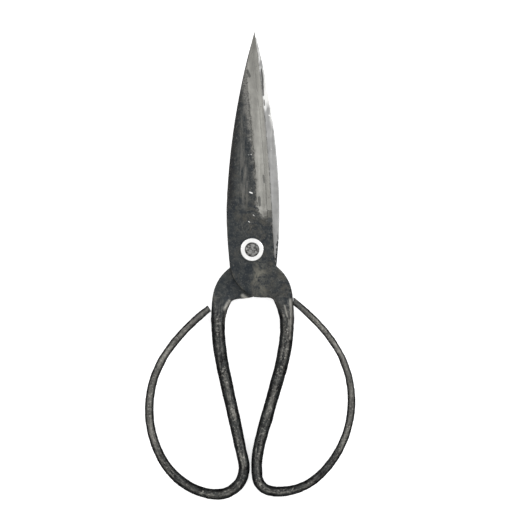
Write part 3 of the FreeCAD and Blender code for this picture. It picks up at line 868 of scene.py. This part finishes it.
def groundSteel(name):
    # the welded edge: ground on its bevel and inner face, still black where the bevel runs out
    recipe = Recipe(name)
    facing = recipe.facing()
    turned = name.startswith("back")
    flat = recipe.between(facing if turned else recipe.times(facing, -1.0), 0.98, 0.999)
    steel, lines = groundColour(recipe, flat)
    along = recipe.along(recipe.place, "Y")
    steel = glareTowardsPoint(recipe, steel, along, flat, 44, 64)
    stains = recipe.between(recipe.noise(*grain["stains"]), 0.6, 0.7, 0.0, 0.55)
    steel = recipe.mix(stains, steel, tone["sootAndShadow"])
    reach = recipe.jitter(along, recipe.noise(*grain["chips"]), 1.4 * mm)
    black = recipe.times(recipe.between(reach, 13.1 * mm, 12.8 * mm), recipe.opposite(flat))
    colour = recipe.mix(black, steel, tone["slate"])
    return recipe.finish(colour, recipe.between(lines, 0.3, 0.7, 0.32, 0.44), recipe.opposite(black),
                         recipe.bump(lines, 0.03), 0.3)


def washerBright():
    recipe = Recipe("washer_bright")
    wear = recipe.noise(2.5, 4, 0.6)
    fine = recipe.noise(0.5, 2, 0.5)
    colour = recipe.mix(recipe.between(wear, 0.35, 0.7), tone["washerWhite"], tone["washerGrey"])
    rough = recipe.between(wear, 0.3, 0.7, 0.2, 0.34)
    return recipe.finish(colour, rough, 1.0, recipe.bump(fine, 0.02), 0.5)


def rivetHammered():
    recipe = Recipe("rivet_hammered")
    dents = recipe.cells(1.1)
    wear = recipe.noise(1.0, 4, 0.65)
    facing = recipe.maths("ABSOLUTE", recipe.facing())
    colour = recipe.mix(recipe.between(wear, 0.4, 0.6), tone["rivetDark"], tone["rivetGrey"])
    colour = recipe.mix(recipe.between(dents, 0.1, 0.5, 0.5, 0.0), colour, tone["rivetPale"])
    # painted shade: the head darkens where it slopes away from straight up
    colour = recipe.mix(recipe.between(facing, 0.95, 0.6), colour, tone["rivetRimShade"])
    rough = recipe.between(wear, 0.3, 0.7, 0.3, 0.5)
    return recipe.finish(colour, rough, 0.9, recipe.bump(dents, 0.16), 0.5)


def turnProfile(name, profile, steps):
    # the profile's points are (radius, height) in mm; spun right round the pivot axis
    deselectAll()
    bpy.ops.mesh.primitive_plane_add(size=mm)
    piece = bpy.context.object
    piece.name = piece.data.name = name
    bpy.ops.object.mode_set(mode="EDIT")
    bpy.ops.mesh.select_mode(type="VERT")
    bpy.ops.mesh.merge(type="CENTER")     # one point is left, and it is drawn out along the profile
    radius, height = profile[0]
    bpy.ops.transform.translate(value=(radius * mm, 0, height * mm))
    for (radius, height), (before, beforeHeight) in zip(profile[1:], profile):
        move = ((radius - before) * mm, 0, (height - beforeHeight) * mm)
        bpy.ops.mesh.extrude_vertices_move(TRANSFORM_OT_translate={"value": move})
    bpy.ops.mesh.select_all(action="SELECT")
    bpy.ops.mesh.spin(steps=steps, angle=2 * math.pi, center=(0, 0, 0), axis=(0, 0, 1))
    bpy.ops.mesh.select_all(action="SELECT")
    bpy.ops.mesh.remove_doubles(threshold=0.0005 * mm)
    bpy.ops.mesh.normals_make_consistent(inside=False)
    bpy.ops.object.mode_set(mode="OBJECT")
    return piece


washer = {"inner": 2.05, "outer": 4.7, "thick": 0.9, "round": 0.4, "lip": 0.15, "foot": 0.06, "steps": 96}


def washerPiece(node, body, finish):
    low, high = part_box(node)
    rounding, outer, inner, thick = washer["round"], washer["outer"], washer["inner"], washer["thick"]
    lip, foot = washer["lip"], washer["foot"]
    profile = [(inner, 0.0), (outer - foot, 0.0), (outer, foot), (outer, thick - rounding)]
    for step in range(1, 6):
        turn = math.radians(18 * step)
        profile.append((outer - rounding + rounding * math.cos(turn),
                        thick - rounding + rounding * math.sin(turn)))
    profile += [(outer - 1.1, thick), (inner + 0.8, thick), (inner + lip, thick - 0.01),
                (inner, thick - lip), (inner, 0.0)]
    piece = turnProfile(f"{node}_ring", profile, washer["steps"])
    if node.startswith("back"):
        turnOver(piece)
        piece.location.z = high.z
    else:
        piece.location.z = low.z
    handOver(piece, finish, 35, body, node)


rivet = {
    "head": 2.95, "flat": 2.0, "rise": 0.9, "shank": 1.98, "steps": 72,
    "dentSize": 1.3, "dentDepth": 0.34, "dentLevel": 0.75, "dented": (0.75, 0.35),
}


def rivetPiece(finish):
    low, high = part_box("pivot_rivet")
    tall = (high.z - low.z) / mm
    head, flat, rise, shank = rivet["head"], rivet["flat"], rivet["rise"], rivet["shank"]
    lower = [(0.0, 0.0), (0.5, 0.0), (1.0, 0.0), (1.5, 0.0), (flat, 0.03), (2.5, 0.2), (2.8, 0.42),
             (head, 0.62), (head, rise - 0.02), (2.4, rise - 0.01), (shank, rise - 0.01), (shank, rise + 0.4)]
    upper = [(radius, tall - height) for radius, height in reversed(lower)]
    piece = turnProfile("pivot_rivet_hammered", lower + upper, rivet["steps"])
    roundOff(piece)
    heads = piece.vertex_groups.new(name="heads")
    for vertex in piece.data.vertices:
        height = min(vertex.co.z, tall * mm - vertex.co.z) / mm
        heads.add([vertex.index], smooth(*rivet["dented"], height), "REPLACE")
    sinkMarks(piece, "dents", rivet["dentSize"], rivet["dentDepth"], rivet["dentLevel"], 1, "heads")
    applyAll(piece)
    for vertex in piece.data.vertices:     # the back head lies flat on the table
        vertex.co.z = max(vertex.co.z, 0.0)
    piece.location.z = low.z
    handOver(piece, finish, 40, "back", "pivot_rivet")


forgeLimb(frontLimb, forgedSkin("front_forged_skin", False))
forgeLimb(backLimb, forgedSkin("back_forged_skin", True))
print("limbs forged")

for node, name in (("front_edge_steel", "front_ground_steel"), ("back_edge_steel", "back_ground_steel")):
    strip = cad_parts[node]
    strip.data.materials.clear()
    strip.data.materials.append(groundSteel(name))
print("edges ground")

bright = washerBright()
washerPiece("front_washer", "back", bright)
washerPiece("back_washer", "back", bright)
rivetPiece(rivetHammered())
print("pivot riveted")

studio = {
    "viewWidth": 210.6 * mm, "viewCentre": (3.2 * mm, -4.2 * mm), "lens": 150.0, "sensor": 36.0,
    "zenith": 1.05, "horizon": 0.2, "floorGlow": 0.62, "table": 6.0, "lightSize": 0.4,
    "lights": [("soft_right", (0.55, 0.25, 0.55), 2.2), ("soft_left", (-0.5, 0.3, 0.6), 1.5)],
}


def layTable():
    deselectAll()
    bpy.ops.mesh.primitive_plane_add(size=studio["table"])
    table = bpy.context.object
    table.name = "studio_table"
    recipe = Recipe("table_white")
    recipe.finish((0.9, 0.9, 0.9), 0.9, 0.0, None, 0.0)
    recipe.shader.inputs["Emission Color"].default_value = (1, 1, 1, 1)
    recipe.shader.inputs["Emission Strength"].default_value = studio["floorGlow"]
    table.data.materials.append(recipe.material)
    table.visible_glossy = False
    table.visible_diffuse = False


def hangLight(name, place, power):
    # a soft square lamp that points at the pivot
    deselectAll()
    bpy.ops.object.light_add(type="AREA", location=place)
    light = bpy.context.object
    light.name = name
    light.data.shape = "SQUARE"
    light.data.size = studio["lightSize"]
    light.data.energy = power
    light.visible_camera = False
    light.rotation_euler = (-Vector(place)).to_track_quat("-Z", "Y").to_euler()


def lightSky():
    # brighter overhead than near the horizon, and plain white where the camera sees it
    world = bpy.data.worlds.new("studio")
    bpy.context.scene.world = world
    world.use_nodes = True
    nodes, links = world.node_tree.nodes, world.node_tree.links
    sky = nodes["Background"]
    sky.inputs["Color"].default_value = (1, 1, 1, 1)
    direction = nodes.new("ShaderNodeTexCoord")
    split = nodes.new("ShaderNodeSeparateXYZ")
    links.new(direction.outputs["Generated"], split.inputs[0])
    rise = nodes.new("ShaderNodeMapRange")
    rise.interpolation_type = "SMOOTHSTEP"
    links.new(split.outputs["Z"], rise.inputs["Value"])
    for name, number in (("From Min", 0.1), ("From Max", 0.9), ("To Min", studio["horizon"]),
                         ("To Max", studio["zenith"])):
        rise.inputs[name].default_value = number
    links.new(rise.outputs["Result"], sky.inputs["Strength"])
    plain = nodes.new("ShaderNodeBackground")
    plain.inputs["Color"].default_value = (1, 1, 1, 1)
    seen = nodes.new("ShaderNodeLightPath")
    blend = nodes.new("ShaderNodeMixShader")
    links.new(seen.outputs["Is Camera Ray"], blend.inputs[0])
    links.new(sky.outputs[0], blend.inputs[1])
    links.new(plain.outputs[0], blend.inputs[2])
    links.new(blend.outputs[0], nodes["World Output"].inputs["Surface"])


def setCamera():
    deselectAll()
    across, along = studio["viewCentre"]
    distance = studio["viewWidth"] * studio["lens"] / studio["sensor"]
    bpy.ops.object.camera_add(location=(across, along, middle + distance), rotation=(0, 0, 0))
    camera = bpy.context.object
    camera.data.lens = studio["lens"]
    camera.data.sensor_width = studio["sensor"]
    camera.data.clip_start = 0.01
    bpy.context.scene.camera = camera


layTable()
lightSky()
for name, place, power in studio["lights"]:
    hangLight(name, place, power)
setCamera()
bpy.context.scene.view_settings.view_transform = "Standard"
print("studio ready")
